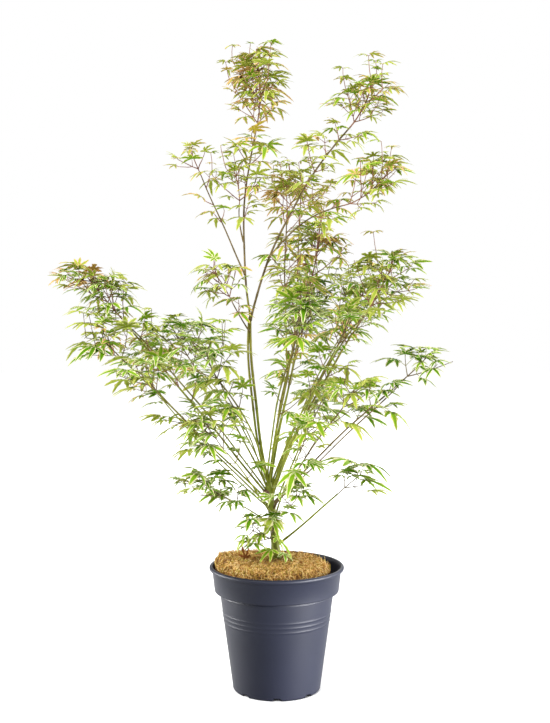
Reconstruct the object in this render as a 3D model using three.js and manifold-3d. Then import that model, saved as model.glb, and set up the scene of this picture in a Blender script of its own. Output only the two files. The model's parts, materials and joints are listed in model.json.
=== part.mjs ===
// A young Japanese maple with many stems, standing in a round nursery pot.
// Millimetres, +Z up. The origin is the centre of the pot's flat underside.

import * as THREE from "three";
import { mergeVertices } from "three/addons/utils/BufferGeometryUtils.js";
import Module from "manifold-3d";

const wasm = await Module();
wasm.setup();

// The clear gap between solids that touch on the real plant.
const GAP = 0.3;

// The pot: a tapered shell with a wide band under its lip.
const POT = {
  height: 176,
  lipRadius: 95,
  lipDrop: 6,
  bandTop: 90.8,
  bandFoot: 87.7,
  bandHeight: 36,
  wallTop: 80,
  baseRadius: 62,
  footRound: 3,
  wall: 2.2,
  floor: 3,
  sides: 36,
  notches: 8,
  notchWidth: 12,
  notchHeight: 4,
};

// The soil fills the pot to its band, and a fibre mat lies on it, off centre and tilted.
const SOIL_TOP = 158;
const MAT = {
  centre: -6,
  radius: 81,
  crown: 181,
  crownRadius: 30,
  shoulder: 178,
  edge: 171,
  tilt: 0.03,
  mound: { x: -70, y: 12, width: 26, rise: 9 },
  sides: 20,
};

// The trunk leans a little, flares at its foot and has one pruned stub below the fork.
const TRUNK = {
  foot: [-1, 14, MAT.crown + GAP],
  top: [-12, 10, 292],
  footRadius: 8.4,
  neckRadius: 6.1,
  topRadius: 4.8,
  flareShare: 0.12,
  stub: { at: 0.86, towards: [-0.6, -0.75, 0.3], length: 13, radius: 2.9 },
};

// The leader carries the whole upper crown.
const LEADER = { name: "leader", at: 1, tip: [-37, 8, 527], bow: [-12, 0, 0], radii: [2.1, 1.7] };

// A bough and the mass of leaves at its end: its parent, where it leaves it as a share of the
// parent's length, the middle and the half sizes of the mass's space, the degrees by which that
// space tilts its +X end up, the offset by which the bough bows and its radius. A mass with no
// radius has no bough and grows straight from its parent.
function mass(name, from, at, centre, half, tilt, bow, radius) {
  return { name, from, at, centre, half, tilt, bow, radius };
}

const MASSES = [
  mass("top", "leader", 1, [-27, 20, 842], [44, 46, 63], 0, [-26, 0, 0], 1.5),
  mass("upper_right", "leader", 0.97, [122, 30, 828], [60, 42, 34], 30, [-34, 0, 19], 1.6),
  mass("upper_left", "top_bough", 0.22, [-112, -30, 739], [38, 40, 25], 0, [-4, 0, 6], 1.1),
  mass("side_left", "top_bough", 0.4, [-56, 0, 708], [46, 42, 34], 0, [-6, 0, 0], 1),
  mass("right_arch", "upper_right_bough", 0.3, [126, -45, 703], [56, 48, 37], 15, [-10, 0, 22], 1.2),
  mass("high_left", "leader", 0.9, [-78, -25, 574], [38, 42, 42], 0, [0, 0, -6], 1.1),
  mass("centre", "trunk", 0.96, [58, 70, 618], [44, 50, 52], 0, [-12, 0, 0], 1.8),
  mass("centre_high", "centre_bough", 0.55, [14, 32, 690], [48, 44, 30], 0, [-6, 0, 0], 1.2),
  mass("back_high", "centre_bough", 0.7, [36, 125, 700], [52, 50, 40], 0, [0, 10, -8], 1.2),
  mass("front", "trunk", 0.93, [26, -105, 514], [48, 54, 48], 0, [-8, 10, 0], 1.6),
  mass("back", "trunk", 0.9, [46, 178, 531], [60, 58, 66], 0, [-6, -16, 10], 1.7),
  mass("mid_left", "trunk", 0.88, [-88, -75, 470], [64, 50, 38], -10, [14, 8, 20], 1.4),
  mass("right_high", "trunk", 0.86, [152, 40, 576], [72, 58, 48], 22, [-10, 0, 12], 1.8),
  mass("back_left", "trunk", 0.83, [-142, 140, 480], [66, 60, 48], 0, [10, -10, 14], 1.5),
  mass("right_front", "trunk", 0.8, [90, -90, 514], [46, 48, 34], 25, [-6, 6, 10], 1.5),
  mass("far_left", "trunk", 0.78, [-240, -20, 556], [88, 44, 34], -27, [6, 0, -4], 1.6),
  mass("back_right", "trunk", 0.76, [122, 155, 538], [62, 56, 48], 0, [-8, -10, 12], 1.6),
  mass("left", "trunk", 0.72, [-226, -60, 488], [50, 48, 36], 20, [4, 4, -6], 1.4),
  mass("right_low", "trunk", 0.7, [192, -20, 456], [66, 44, 26], -1, [-4, 0, 8], 1.4),
  mass("left_low", "trunk", 0.66, [-172, -122, 450], [52, 46, 29], 12, [4, 4, -12], 1.3),
  mass("right_inner", "trunk", 0.62, [94, -108, 422], [50, 46, 28], 0, [-4, 6, 6], 1.3),
  mass("back_low", "trunk", 0.58, [66, 138, 392], [50, 50, 42], 0, [-4, -8, 8], 1.5),
  mass("low_left", "trunk", 0.54, [-84, -85, 372], [52, 46, 41], -5, [4, 4, 4], 1.2),
  mass("low_front", "trunk", 0.48, [37, -108, 370], [44, 46, 32], 5, [0, 8, 6], 1.3),
  mass("left_sprig", "trunk", 0.42, [-96, -30, 293], [48, 40, 26], -6, [0, 0, 4], 1.1),
  mass("right_sprig", "trunk", 0.16, [107, 0, 295], [52, 40, 25], -8, [0, 0, -2], 1.2),
  mass("fork", "trunk", 0.3, [24, -40, 276], [48, 40, 28], 0),
  mass("foot", "trunk", 0.24, [-26, -22, 226], [42, 38, 40], 0),
];

const BOUGH = { sides: 5, step: 70, tipShare: 0.7, entry: 0.92 };

// The growth rule of a mass: one stem, opposite pairs of twigs that turn from node to node, and
// leaves at the nodes and tips. Shares are of a stem's, a twig's or a leaf's length.
const STEM = { sides: 4, rings: 3, radius: 1, straightShare: 0.45, farShare: 0.5, nodeSpacing: 40 };
const NODE = { offset: 0.35, turnSpread: 0.4, lean: 0.95, leanSpread: 0.25 };
const TWIG = {
  sides: 3,
  radii: [0.95, 0.85],
  shortest: 12,
  longest: 90,
  tipRoom: 0.4,
  leavesAt: [0.38, 0.62],
};

// A leaf has five pointed lobes that spread from a hub at the end of its stalk.
const LEAF = {
  length: 50,
  lengthSpread: 0.1,
  stalk: 0.27,
  lobes: [
    { angle: -82, reach: 0.44 },
    { angle: -40, reach: 0.64 },
    { angle: 0, reach: 0.73 },
    { angle: 40, reach: 0.64 },
    { angle: 82, reach: 0.44 },
  ],
  notchReach: 0.19,
  backNotch: { angle: 138, reach: 0.075 },
  halfThickness: 0.8,
  droop: 0.32,
  roll: 0.35,
  dip: 0.12,
};

// Where a leaf finds no room it is tried again, each time turned, tipped and shortened a little more.
const TRIES = { count: 8, turn: 0.2, tip: 0.08, shrink: 0.025 };

// Clear widths: of a lobe to other masses and limbs, and to its own mass. The edge of a mass's space
// is at 1, which leaf tips may pass a little, and spaces share a thin border.
const ROOM = { lobe: 3.6, sibling: 2.6, leafTips: 1.3, border: 0.2 };

const COLOURS = {
  pot: { color: 0x39404f, roughness: 0.45, metalness: 0 },
  soil: { color: 0x3a2a1e, roughness: 0.95, metalness: 0 },
  mat: { color: 0xa8773a, roughness: 0.95, metalness: 0 },
  trunk: { color: 0x6d7d33, roughness: 0.7, metalness: 0 },
  bough: { color: 0x8b9c45, roughness: 0.65, metalness: 0 },
  lowLeaf: { color: 0x7fae4a, roughness: 0.55, metalness: 0 },
  highLeaf: { color: 0xc2c06a, roughness: 0.55, metalness: 0 },
};

// The leaves above this height are paler and pinker than those below.
const HIGH_CROWN = 560;

const UP = new THREE.Vector3(0, 0, 1);
const ACROSS = new THREE.Vector3(1, 0, 0);
const INTO = new THREE.Vector3(0, 1, 0);

function vector([x, y, z]) {
  return new THREE.Vector3(x, y, z);
}

// A seeded generator, so that the plant grows the same each time.
function randomFrom(seed) {
  let state = seed >>> 0;
  return () => {
    state = (state + 0x6d2b79f5) >>> 0;
    let mixed = Math.imul(state ^ (state >>> 15), state | 1);
    mixed ^= mixed + Math.imul(mixed ^ (mixed >>> 7), mixed | 61);
    return ((mixed ^ (mixed >>> 14)) >>> 0) / 4294967296;
  };
}

// Solids and meshes

function solidFrom(geometry) {
  const bare = geometry.clone();
  bare.deleteAttribute("normal");
  bare.deleteAttribute("uv");
  const merged = mergeVertices(bare, 1e-4);
  const vertProperties = new Float32Array(merged.attributes.position.array);
  const triVerts = new Uint32Array(merged.index.array);
  return new wasm.Manifold(new wasm.Mesh({ numProp: 3, vertProperties, triVerts }));
}

function geometryFrom(solid) {
  const mesh = solid.getMesh();
  const geometry = new THREE.BufferGeometry();
  geometry.setAttribute("position", new THREE.BufferAttribute(new Float32Array(mesh.vertProperties), 3));
  geometry.setIndex([...mesh.triVerts]);
  geometry.computeVertexNormals();
  return geometry;
}

function joined(solids) {
  return solids.reduce((whole, piece) => whole.add(piece));
}

// The largest piece alone: loose scraps and sealed hollows are dropped.
function largestPiece(solid) {
  return solid.decompose().reduce((best, piece) => (piece.volume() > best.volume() ? piece : best));
}

function closedGeometry(points, faces) {
  const geometry = new THREE.BufferGeometry();
  const places = points.flatMap(({ x, y, z }) => [x, y, z]);
  geometry.setAttribute("position", new THREE.Float32BufferAttribute(places, 3));
  geometry.setIndex(faces.flat());
  return geometry;
}

function meshOf(name, geometry, finish) {
  const mesh = new THREE.Mesh(geometry, new THREE.MeshStandardMaterial(finish));
  mesh.name = name;
  return mesh;
}

// A lathe solid about the Z axis from a profile of radius and height, which starts and ends on the axis.
function turned(profile, sides) {
  const points = profile.map(([radius, height]) => new THREE.Vector2(radius, height));
  return new THREE.LatheGeometry(points, sides).rotateX(Math.PI / 2);
}

// Limbs

// Rings of a limb along its curve, closed by a flat cap at each end.
function taperedTube(curve, radiusAt, rings, sides) {
  const frames = curve.computeFrenetFrames(rings, false);
  const points = [];
  for (let i = 0; i <= rings; i += 1) {
    const centre = curve.getPoint(i / rings);
    for (let k = 0; k < sides; k += 1) {
      const turn = (2 * Math.PI * k) / sides;
      const outward = frames.normals[i].clone().multiplyScalar(Math.cos(turn));
      outward.addScaledVector(frames.binormals[i], Math.sin(turn));
      points.push(centre.clone().addScaledVector(outward, radiusAt(i / rings)));
    }
  }
  return closedGeometry(points, tubeFaces(rings, sides));
}

function tubeFaces(rings, sides) {
  const faces = [];
  for (let i = 0; i < rings; i += 1) {
    for (let k = 0; k < sides; k += 1) {
      const a = i * sides + k;
      const b = i * sides + ((k + 1) % sides);
      faces.push([a, b, a + sides], [b, b + sides, a + sides]);
    }
  }
  const last = rings * sides;
  for (let k = 1; k < sides - 1; k += 1) {
    faces.push([0, k + 1, k], [last, last + k, last + k + 1]);
  }
  return faces;
}

function bowedCurve(start, bow, end) {
  const middle = start.clone().add(end).multiplyScalar(0.5).add(bow);
  return new THREE.QuadraticBezierCurve3(start, middle, end);
}

function limbSolid(limb, grow = 0) {
  const radiusAt = (share) => limb.radiusAt(share) + grow;
  return solidFrom(taperedTube(limb.curve, radiusAt, limb.rings, limb.sides));
}

// The grown copy that cuts room for a limb out of a later one, longer by the gap at both ends.
function limbRoom(limb) {
  const start = limb.curve.getPoint(0);
  const end = limb.curve.getPoint(1);
  start.addScaledVector(limb.curve.getTangent(0), -GAP);
  end.addScaledVector(limb.curve.getTangent(1), GAP);
  const longer = { ...limb, curve: new THREE.QuadraticBezierCurve3(start, limb.curve.v1, end) };
  return limbSolid(longer, GAP / Math.cos(Math.PI / limb.sides));
}

function trunkRadius(share) {
  const { footRadius, neckRadius, topRadius, flareShare } = TRUNK;
  const flare = (footRadius - neckRadius) * Math.exp(-share / flareShare);
  return THREE.MathUtils.lerp(neckRadius, topRadius, share) + flare;
}

function makeTrunk() {
  const curve = bowedCurve(vector(TRUNK.foot), new THREE.Vector3(3, 0, 0), vector(TRUNK.top));
  return { name: "trunk", curve, radiusAt: trunkRadius, rings: 8, sides: 8 };
}

function makeStub(trunk) {
  const { at, towards, length, radius } = TRUNK.stub;
  const root = trunk.curve.getPoint(at);
  const tip = root.clone().addScaledVector(vector(towards).normalize(), length);
  return { curve: bowedCurve(root, new THREE.Vector3(), tip), radiusAt: () => radius, rings: 1, sides: 6 };
}

// The trunk's foot is cut level, and the stub is fused to its side.
function trunkSolid(trunk, stub) {
  const [x, y, z] = TRUNK.foot;
  const below = new THREE.BoxGeometry(60, 60, 20).translate(x, y, z - 10);
  const sunk = { ...trunk, curve: trunk.curve.clone() };
  sunk.curve.v0.z -= 3;
  return joined([limbSolid(sunk), limbSolid(stub)]).subtract(solidFrom(below));
}

function startOn(parent, at) {
  const point = parent.curve.getPoint(at);
  return at < 1 ? point : point.addScaledVector(parent.curve.getTangent(1), GAP);
}

function ringsFor(curve) {
  return Math.max(2, Math.round(curve.getLength() / BOUGH.step));
}

function makeLeader(parent) {
  const curve = bowedCurve(startOn(parent, LEADER.at), vector(LEADER.bow), vector(LEADER.tip));
  const radiusAt = (share) => THREE.MathUtils.lerp(...LEADER.radii, share);
  return { name: LEADER.name, curve, radiusAt, rings: ringsFor(curve), sides: 6 };
}

// How far a point lies from the middle of a mass, where 1 is the edge of its space.
function depthIn(row, point) {
  const offset = point.clone().sub(vector(row.centre));
  offset.applyAxisAngle(INTO, THREE.MathUtils.degToRad(row.tilt));
  return Math.hypot(offset.x / row.half[0], offset.y / row.half[1], offset.z / row.half[2]);
}

function makeBough(row, parent) {
  const start = startOn(parent, row.at);
  const inward = start.clone().sub(vector(row.centre));
  const end = vector(row.centre).addScaledVector(inward, BOUGH.entry / depthIn(row, start));
  const curve = bowedCurve(start, vector(row.bow), end);
  const radiusAt = (share) => row.radius * THREE.MathUtils.lerp(1, BOUGH.tipShare, share);
  return { name: `${row.name}_bough`, curve, radiusAt, rings: ringsFor(curve), sides: BOUGH.sides };
}

// Clearance between pieces, kept as thick line segments

function distanceBetween(first, second) {
  const d1 = first.b.clone().sub(first.a);
  const d2 = second.b.clone().sub(second.a);
  const r = first.a.clone().sub(second.a);
  const a = d1.dot(d1);
  const e = d2.dot(d2);
  const f = d2.dot(r);
  const c = d1.dot(r);
  const b = d1.dot(d2);
  const clamp = (value) => Math.min(1, Math.max(0, value));
  const denominator = a * e - b * b;
  let s = denominator > 1e-9 ? clamp((b * f - c * e) / denominator) : 0;
  const t = clamp((b * s + f) / e);
  s = clamp((b * t - c) / a);
  return first.a.clone().addScaledVector(d1, s).distanceTo(second.a.clone().addScaledVector(d2, t));
}

function segmentsOf(curve, count, radiusAt, owner) {
  const segments = [];
  for (let i = 0; i < count; i += 1) {
    const a = curve.getPoint(i / count);
    const b = curve.getPoint((i + 1) / count);
    segments.push({ a, b, radius: radiusAt(i / count), owner });
  }
  return segments;
}

function touches(segment, others, siblingRadius) {
  return others.some((other) => {
    const sibling = other.owner === segment.owner;
    const clear = sibling ? siblingRadius : segment.radius + other.radius + 2 * GAP;
    const reach = clear + segment.a.distanceTo(segment.b) + other.a.distanceTo(other.b);
    if (segment.a.distanceTo(other.a) > reach) return false;
    return distanceBetween(segment, other) < clear;
  });
}

function inOwnSpace(row, point, slack) {
  const own = depthIn(row, point);
  const share = Math.min(own, 1) - ROOM.border;
  return own < slack && MASSES.every((other) => other === row || depthIn(other, point) > share);
}

// Leaves

// Outline of a leaf from its hub, as a bearing and a reach, then bent down towards its tips.
function leafOutline(length) {
  const polar = [{ angle: -LEAF.backNotch.angle, reach: LEAF.backNotch.reach }];
  LEAF.lobes.forEach((lobe, i) => {
    polar.push(lobe);
    const next = LEAF.lobes[i + 1];
    if (next) polar.push({ angle: (lobe.angle + next.angle) / 2, reach: LEAF.notchReach });
  });
  polar.push(LEAF.backNotch);
  return polar.map(({ angle, reach }) => {
    const turn = THREE.MathUtils.degToRad(angle);
    const x = (LEAF.stalk + reach * Math.cos(turn)) * length;
    return new THREE.Vector3(x, reach * Math.sin(turn) * length, -LEAF.droop * reach * reach * length);
  });
}

// A frame whose X runs along the leaf and whose Z is the leaf's upper face.
function leafFrame(root, forward, roll) {
  const side = new THREE.Vector3().crossVectors(UP, forward).normalize();
  const face = new THREE.Vector3().crossVectors(forward, side).normalize();
  const matrix = new THREE.Matrix4().makeBasis(forward, side, face).setPosition(root);
  return matrix.multiply(new THREE.Matrix4().makeRotationX(roll));
}

function leafPoints(leaf) {
  const hub = LEAF.stalk * leaf.length;
  const faces = [1, -1].map((side) => new THREE.Vector3(hub, 0, side * LEAF.halfThickness));
  const points = [...leafOutline(leaf.length), new THREE.Vector3(), ...faces];
  return points.map((point) => point.applyMatrix4(leaf.frame));
}

function leafGeometry(leaf) {
  const points = leafPoints(leaf);
  const edge = points.length - 2;
  const faces = [];
  for (let i = 0; i < edge; i += 1) {
    const next = (i + 1) % edge;
    faces.push([i, next, edge], [next, i, edge + 1]);
  }
  return closedGeometry(points, faces);
}

function leafSegments(leaf, owner) {
  const hub = new THREE.Vector3(LEAF.stalk * leaf.length, 0, 0).applyMatrix4(leaf.frame);
  const outline = leafOutline(leaf.length);
  return LEAF.lobes.map((lobe, i) => {
    const tip = outline[1 + 2 * i].clone().applyMatrix4(leaf.frame);
    return { a: hub, b: tip, radius: ROOM.lobe, owner };
  });
}

// The growth of one mass

class Mass {
  constructor(row, seed, placed) {
    this.row = row;
    this.random = randomFrom(seed);
    this.placed = placed;
    this.solids = [];
  }

  spread(width) {
    return (this.random() * 2 - 1) * width;
  }

  // The stem's first part leaves its bough, so only the rest of it is tested.
  stem(curve, radius) {
    const radiusAt = (share) => THREE.MathUtils.lerp(radius, STEM.radius, share);
    const [, ...tested] = segmentsOf(curve, 4, radiusAt, this.row.name);
    return this.keep(tested, 0, () => taperedTube(curve, radiusAt, STEM.rings, STEM.sides));
  }

  twig(curve) {
    const radiusAt = (share) => THREE.MathUtils.lerp(...TWIG.radii, share);
    const segments = segmentsOf(curve, 2, radiusAt, this.row.name);
    return this.keep(segments, 0, () => taperedTube(curve, radiusAt, 1, TWIG.sides));
  }

  leaf(root, forward, length) {
    const leaf = { length, frame: leafFrame(root, forward.normalize(), this.spread(LEAF.roll)) };
    const segments = leafSegments(leaf, this.row.name);
    if (segments.some(({ b }) => !inOwnSpace(this.row, b, ROOM.leafTips))) return false;
    return this.keep(segments, ROOM.sibling, () => leafGeometry(leaf));
  }

  // A piece is kept only where it is clear of everything that is there.
  keep(segments, siblingRadius, makeGeometry) {
    if (segments.some((segment) => touches(segment, this.placed, siblingRadius))) return false;
    this.placed.push(...segments);
    this.solids.push(solidFrom(makeGeometry()));
    return true;
  }

  leafNear(root, forward) {
    const length = LEAF.length * (1 + this.spread(LEAF.lengthSpread));
    for (let i = 0; i < TRIES.count; i += 1) {
      const turn = this.spread(TRIES.turn * (i + 1));
      const aim = forward.clone().normalize().applyAxisAngle(UP, turn);
      aim.z += this.spread(TRIES.tip * (i + 1)) - LEAF.dip;
      if (this.leaf(root, aim, length * (1 - TRIES.shrink * i))) return;
    }
  }

  // The way from a point to the edge of the space.
  roomFrom(point, direction) {
    let reach = 0;
    while (depthIn(this.row, point.clone().addScaledVector(direction, reach)) < 1) reach += 2;
    return reach;
  }

  // A side twig ends where its last leaf still fits the space. Where it would be too short, a leaf
  // grows straight from the stem.
  sideTwig(root, direction) {
    const reach = Math.min(TWIG.longest, this.roomFrom(root, direction) - TWIG.tipRoom * LEAF.length);
    const curve = new THREE.LineCurve3(root, root.clone().addScaledVector(direction, reach));
    if (reach < TWIG.shortest) this.leafNear(root, direction);
    else if (this.twig(curve)) this.twigLeaves(curve, direction);
  }

  twigLeaves(curve, ahead) {
    this.leafNear(curve.getPoint(0.98), ahead);
    const side = new THREE.Vector3().crossVectors(UP, ahead).normalize();
    TWIG.leavesAt.forEach((at, i) => {
      const outward = ahead.clone().multiplyScalar(0.5).addScaledVector(side, i ? 1 : -1);
      this.leafNear(curve.getPoint(at), outward);
    });
  }

  // The stem leaves in line with its bough and bends through the middle of the space.
  stemCurve(root, heading) {
    const across = vector(this.row.centre).sub(root);
    const share = STEM.farShare / Math.max(STEM.farShare, depthIn(this.row, root));
    const far = vector(this.row.centre).addScaledVector(across, share);
    const bend = root.clone().addScaledVector(heading, STEM.straightShare * root.distanceTo(far));
    return new THREE.QuadraticBezierCurve3(root, bend, far);
  }

  grow(root, heading, radius) {
    const curve = this.stemCurve(root, heading);
    this.stem(curve, radius);
    const nodes = Math.max(2, Math.round(curve.getLength() / STEM.nodeSpacing));
    for (let i = 1; i <= nodes; i += 1) this.node(curve, (i - NODE.offset) / nodes, (i * Math.PI) / 2);
    this.leafNear(curve.getPoint(0.99), curve.getTangent(1));
    return joined(this.solids);
  }

  // One pair of opposite twigs, a quarter turn on from the pair before it.
  node(curve, at, quarterTurns) {
    const ahead = curve.getTangent(at);
    const level = Math.abs(ahead.z) > 0.9 ? ACROSS : UP;
    const side = new THREE.Vector3().crossVectors(level, ahead).normalize();
    const outward = side.applyAxisAngle(ahead, quarterTurns + this.spread(NODE.turnSpread));
    [1, -1].forEach((way) => {
      const lean = NODE.lean + this.spread(NODE.leanSpread);
      const direction = ahead.clone().multiplyScalar(Math.cos(lean));
      this.sideTwig(curve.getPoint(at), direction.addScaledVector(outward, way * Math.sin(lean)));
    });
  }
}

// The pot, its soil and its mat

// The outer side of the pot from its base to its lip, as radius and height.
function potOutside() {
  const { height, lipRadius, lipDrop, bandTop, bandFoot, bandHeight, wallTop, baseRadius, footRound } = POT;
  const bandBase = height - bandHeight;
  return [
    [baseRadius - footRound, 0],
    [baseRadius, footRound],
    [wallTop, bandBase - 3],
    [bandFoot, bandBase],
    [bandTop, height - lipDrop],
    [lipRadius - 0.8, height - lipDrop],
    [lipRadius, height - lipDrop / 2],
    [lipRadius - 1.2, height],
  ];
}

function potInside() {
  const { height, lipRadius, lipDrop, bandTop, bandFoot, wallTop, baseRadius, wall, floor } = POT;
  const bandBase = height - POT.bandHeight;
  return [
    [lipRadius - 3.6, height],
    [bandTop - wall, height - lipDrop],
    [bandFoot - wall, bandBase + wall],
    [wallTop - wall, bandBase - 1],
    [baseRadius - wall, floor],
  ];
}

function potNotches() {
  const { baseRadius, notchWidth, notchHeight, notches } = POT;
  return Array.from({ length: notches }, (_, i) => {
    const notch = new THREE.BoxGeometry(10, notchWidth, notchHeight * 2).translate(baseRadius + 2.2, 0, 0);
    return solidFrom(notch.rotateZ((2 * Math.PI * i) / notches));
  });
}

function makePot() {
  const shell = solidFrom(turned([[0, 0], ...potOutside(), ...potInside(), [0, POT.floor]], POT.sides));
  return geometryFrom(shell.subtract(joined(potNotches())));
}

// The soil follows the inside of the pot, one gap clear of it.
function makeSoil() {
  const [, bandWall, bandCorner, wallTop, floorCorner] = potInside();
  const share = (SOIL_TOP - bandCorner[1]) / (bandWall[1] - bandCorner[1]);
  const topRadius = THREE.MathUtils.lerp(bandCorner[0], bandWall[0], share);
  const profile = [
    [0, floorCorner[1] + GAP],
    [floorCorner[0] - 2 * GAP, floorCorner[1] + GAP],
    [wallTop[0] - 2 * GAP, wallTop[1]],
    [bandCorner[0] - 2 * GAP, bandCorner[1] + GAP],
    [topRadius - 2 * GAP, SOIL_TOP],
    [0, SOIL_TOP],
  ];
  return turned(profile, POT.sides);
}

// The mat is level round the trunk's foot, slopes and waves from there to its edge and has a mound.
function makeMat() {
  const { centre, radius, crown, crownRadius, shoulder, edge, tilt, mound, sides } = MAT;
  const floor = SOIL_TOP + GAP;
  const profile = [
    [0, floor],
    [radius - 3, floor],
    [radius, edge],
    [radius * 0.92, shoulder],
    [radius * 0.66, (crown + shoulder) / 2],
    [crownRadius, crown],
    [0, crown],
  ];
  const mat = turned(profile, sides).translate(centre, 0, 0);
  const spots = mat.attributes.position;
  for (let i = 0; i < spots.count; i += 1) {
    const x = spots.getX(i) - centre;
    const y = spots.getY(i);
    const out = Math.max(0, Math.hypot(x, y) - crownRadius - 1) / (radius - crownRadius);
    const wave = 1.6 * Math.sin((5 * x) / radius + 1) * Math.cos((4 * y) / radius);
    const away = Math.hypot(spots.getX(i) - mound.x, y - mound.y) / mound.width;
    const rise = mound.rise * Math.exp((-away * away) / 2);
    if (spots.getZ(i) > floor + 1) spots.setZ(i, spots.getZ(i) + out * (wave + rise - tilt * x));
  }
  return mat;
}

// The whole plant

const plant = new THREE.Group();
plant.add(meshOf("pot", makePot(), COLOURS.pot));
plant.add(meshOf("soil", makeSoil(), COLOURS.soil));
plant.add(meshOf("fibre_mat", makeMat(), COLOURS.mat));

const trunk = makeTrunk();
const stub = makeStub(trunk);
const limbs = { trunk };
limbs.leader = makeLeader(trunk);
MASSES.filter((row) => row.radius).forEach((row) => {
  limbs[`${row.name}_bough`] = makeBough(row, limbs[row.from]);
});

// Each limb is cut clear of the ones before it, so its foot fits its parent like a saddle.
plant.add(meshOf(trunk.name, geometryFrom(trunkSolid(trunk, stub)), COLOURS.trunk));
const rooms = [limbRoom(trunk), limbRoom(stub)];
const placed = [trunk, stub].flatMap((limb) => segmentsOf(limb.curve, 8, limb.radiusAt, trunk.name));
Object.values(limbs).slice(1).forEach((limb) => {
  const fitted = rooms.reduce((piece, room) => piece.subtract(room), limbSolid(limb));
  plant.add(meshOf(limb.name, geometryFrom(largestPiece(fitted)), COLOURS.bough));
  rooms.push(limbRoom(limb));
  placed.push(...segmentsOf(limb.curve, 8, limb.radiusAt, limb.name));
});

function growMass(row, index) {
  const mass = new Mass(row, 101 + 17 * index, placed);
  if (row.radius) {
    const bough = limbs[`${row.name}_bough`];
    return mass.grow(startOn(bough, 1), bough.curve.getTangent(1), bough.radiusAt(1));
  }
  const parent = limbs[row.from];
  const root = parent.curve.getPoint(row.at);
  const heading = vector(row.centre).sub(root).normalize();
  return mass.grow(root, heading, STEM.radius).subtract(limbRoom(parent));
}

MASSES.forEach((row, index) => {
  const leaves = geometryFrom(largestPiece(growMass(row, index)));
  const finish = row.centre[2] > HIGH_CROWN ? COLOURS.highLeaf : COLOURS.lowLeaf;
  plant.add(meshOf(`${row.name}_leaves`, leaves, finish));
});

export default plant;
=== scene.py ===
"""Looks for a young many-stemmed Japanese maple that stands in a round nursery pot.

Lengths are in millimetres until a mesh is made, which turns them into metres.
"""

import json
import math
from types import SimpleNamespace as Values

import bpy
import numpy as np
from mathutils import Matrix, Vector

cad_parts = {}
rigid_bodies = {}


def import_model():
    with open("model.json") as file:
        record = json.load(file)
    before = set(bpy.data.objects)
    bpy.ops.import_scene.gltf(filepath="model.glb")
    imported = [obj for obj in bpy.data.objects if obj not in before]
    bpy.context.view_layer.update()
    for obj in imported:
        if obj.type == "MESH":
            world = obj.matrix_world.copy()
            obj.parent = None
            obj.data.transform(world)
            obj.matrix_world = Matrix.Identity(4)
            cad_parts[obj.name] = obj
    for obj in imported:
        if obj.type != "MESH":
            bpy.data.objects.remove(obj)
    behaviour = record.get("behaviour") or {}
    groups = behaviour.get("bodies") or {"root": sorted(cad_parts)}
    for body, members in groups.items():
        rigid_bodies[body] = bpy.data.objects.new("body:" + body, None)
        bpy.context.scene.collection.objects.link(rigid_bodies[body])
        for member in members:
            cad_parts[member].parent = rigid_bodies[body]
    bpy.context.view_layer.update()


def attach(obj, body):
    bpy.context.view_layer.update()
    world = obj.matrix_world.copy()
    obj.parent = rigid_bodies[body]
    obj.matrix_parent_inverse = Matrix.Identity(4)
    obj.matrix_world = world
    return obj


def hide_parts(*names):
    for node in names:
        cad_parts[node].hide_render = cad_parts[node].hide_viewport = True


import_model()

MM = 0.001
UP = np.array([0.0, 0.0, 1.0])
ACROSS = np.array([1.0, 0.0, 0.0])

# The photograph's camera: its place, its pitch and its focal length in heights of the picture.
CAMERA = Values(place=(-2.4, -1700, 573.8), pitch=3.72, focal=1221 / 723, sensor=36)

POT = Values(height=176, base=62, round=3, wall_top=80, wall=2.2, floor=3)
LIP = Values(radius=95, drop=6, round=3)
BAND = Values(top=90.8, foot=87.7, height=36, round=2, groove=0.5)
RIBS = Values(heights=(98.5, 105, 111.5), rise=0.45, width=1.2)
NOTCH = Values(count=8, width=12, height=4, depth=7)
# Heights of the rows of the pot's wall that are below its ribs and above them.
WALL_ROWS = Values(below=(5, 7, 10, 20, 40, 60, 80), above=(122, 130, 134.5, 136))
SOIL = Values(top=158, radius=86.2, even=74, fade=12, crumb=0.9, foot=145, foot_share=0.85)
# The mat: its middle along X, its radius, its heights from the middle outwards and its relief.
MAT = Values(centre=-6, radius=81, crown_radius=30, crown=181, shoulder=178, edge=171, wave=1.6, lump=0.9)
MOUND = Values(place=(-70, 12), width=26, rise=9, tilt=0.03)
# The mat's fibres, with how high a loose end may stand and how much more it may at the mat's edge.
FIBRE = Values(count=9000, rows=5, shortest=3, spread=7, curl=2.4, radii=(0.3, 0.18), stand=4, edge_stand=6)
FIBRE_SHADES = {
    "gold": ("#b0813e", "#cfa762"),
    "straw": ("#d6b46c", "#ecd398"),
    "brown": ("#66401a", "#90602c"),
    "moss": ("#87772a", "#a3973c"),
}

TRUNK = Values(foot=(-1, 14, 181.3), top=(-12, 10, 292), bow=(3, 0, 0))
GIRTH = Values(foot=8.4, neck=6.1, top=4.8, flare=0.12, relief=0.32)
STUB = Values(at=0.86, towards=(-0.6, -0.75, 0.3), length=13, radius=2.9, relief=0.2)
LEADER = Values(tip=(-37, 8, 527), bow=(-12, 0, 0), radii=(2.1, 1.7))

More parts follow.
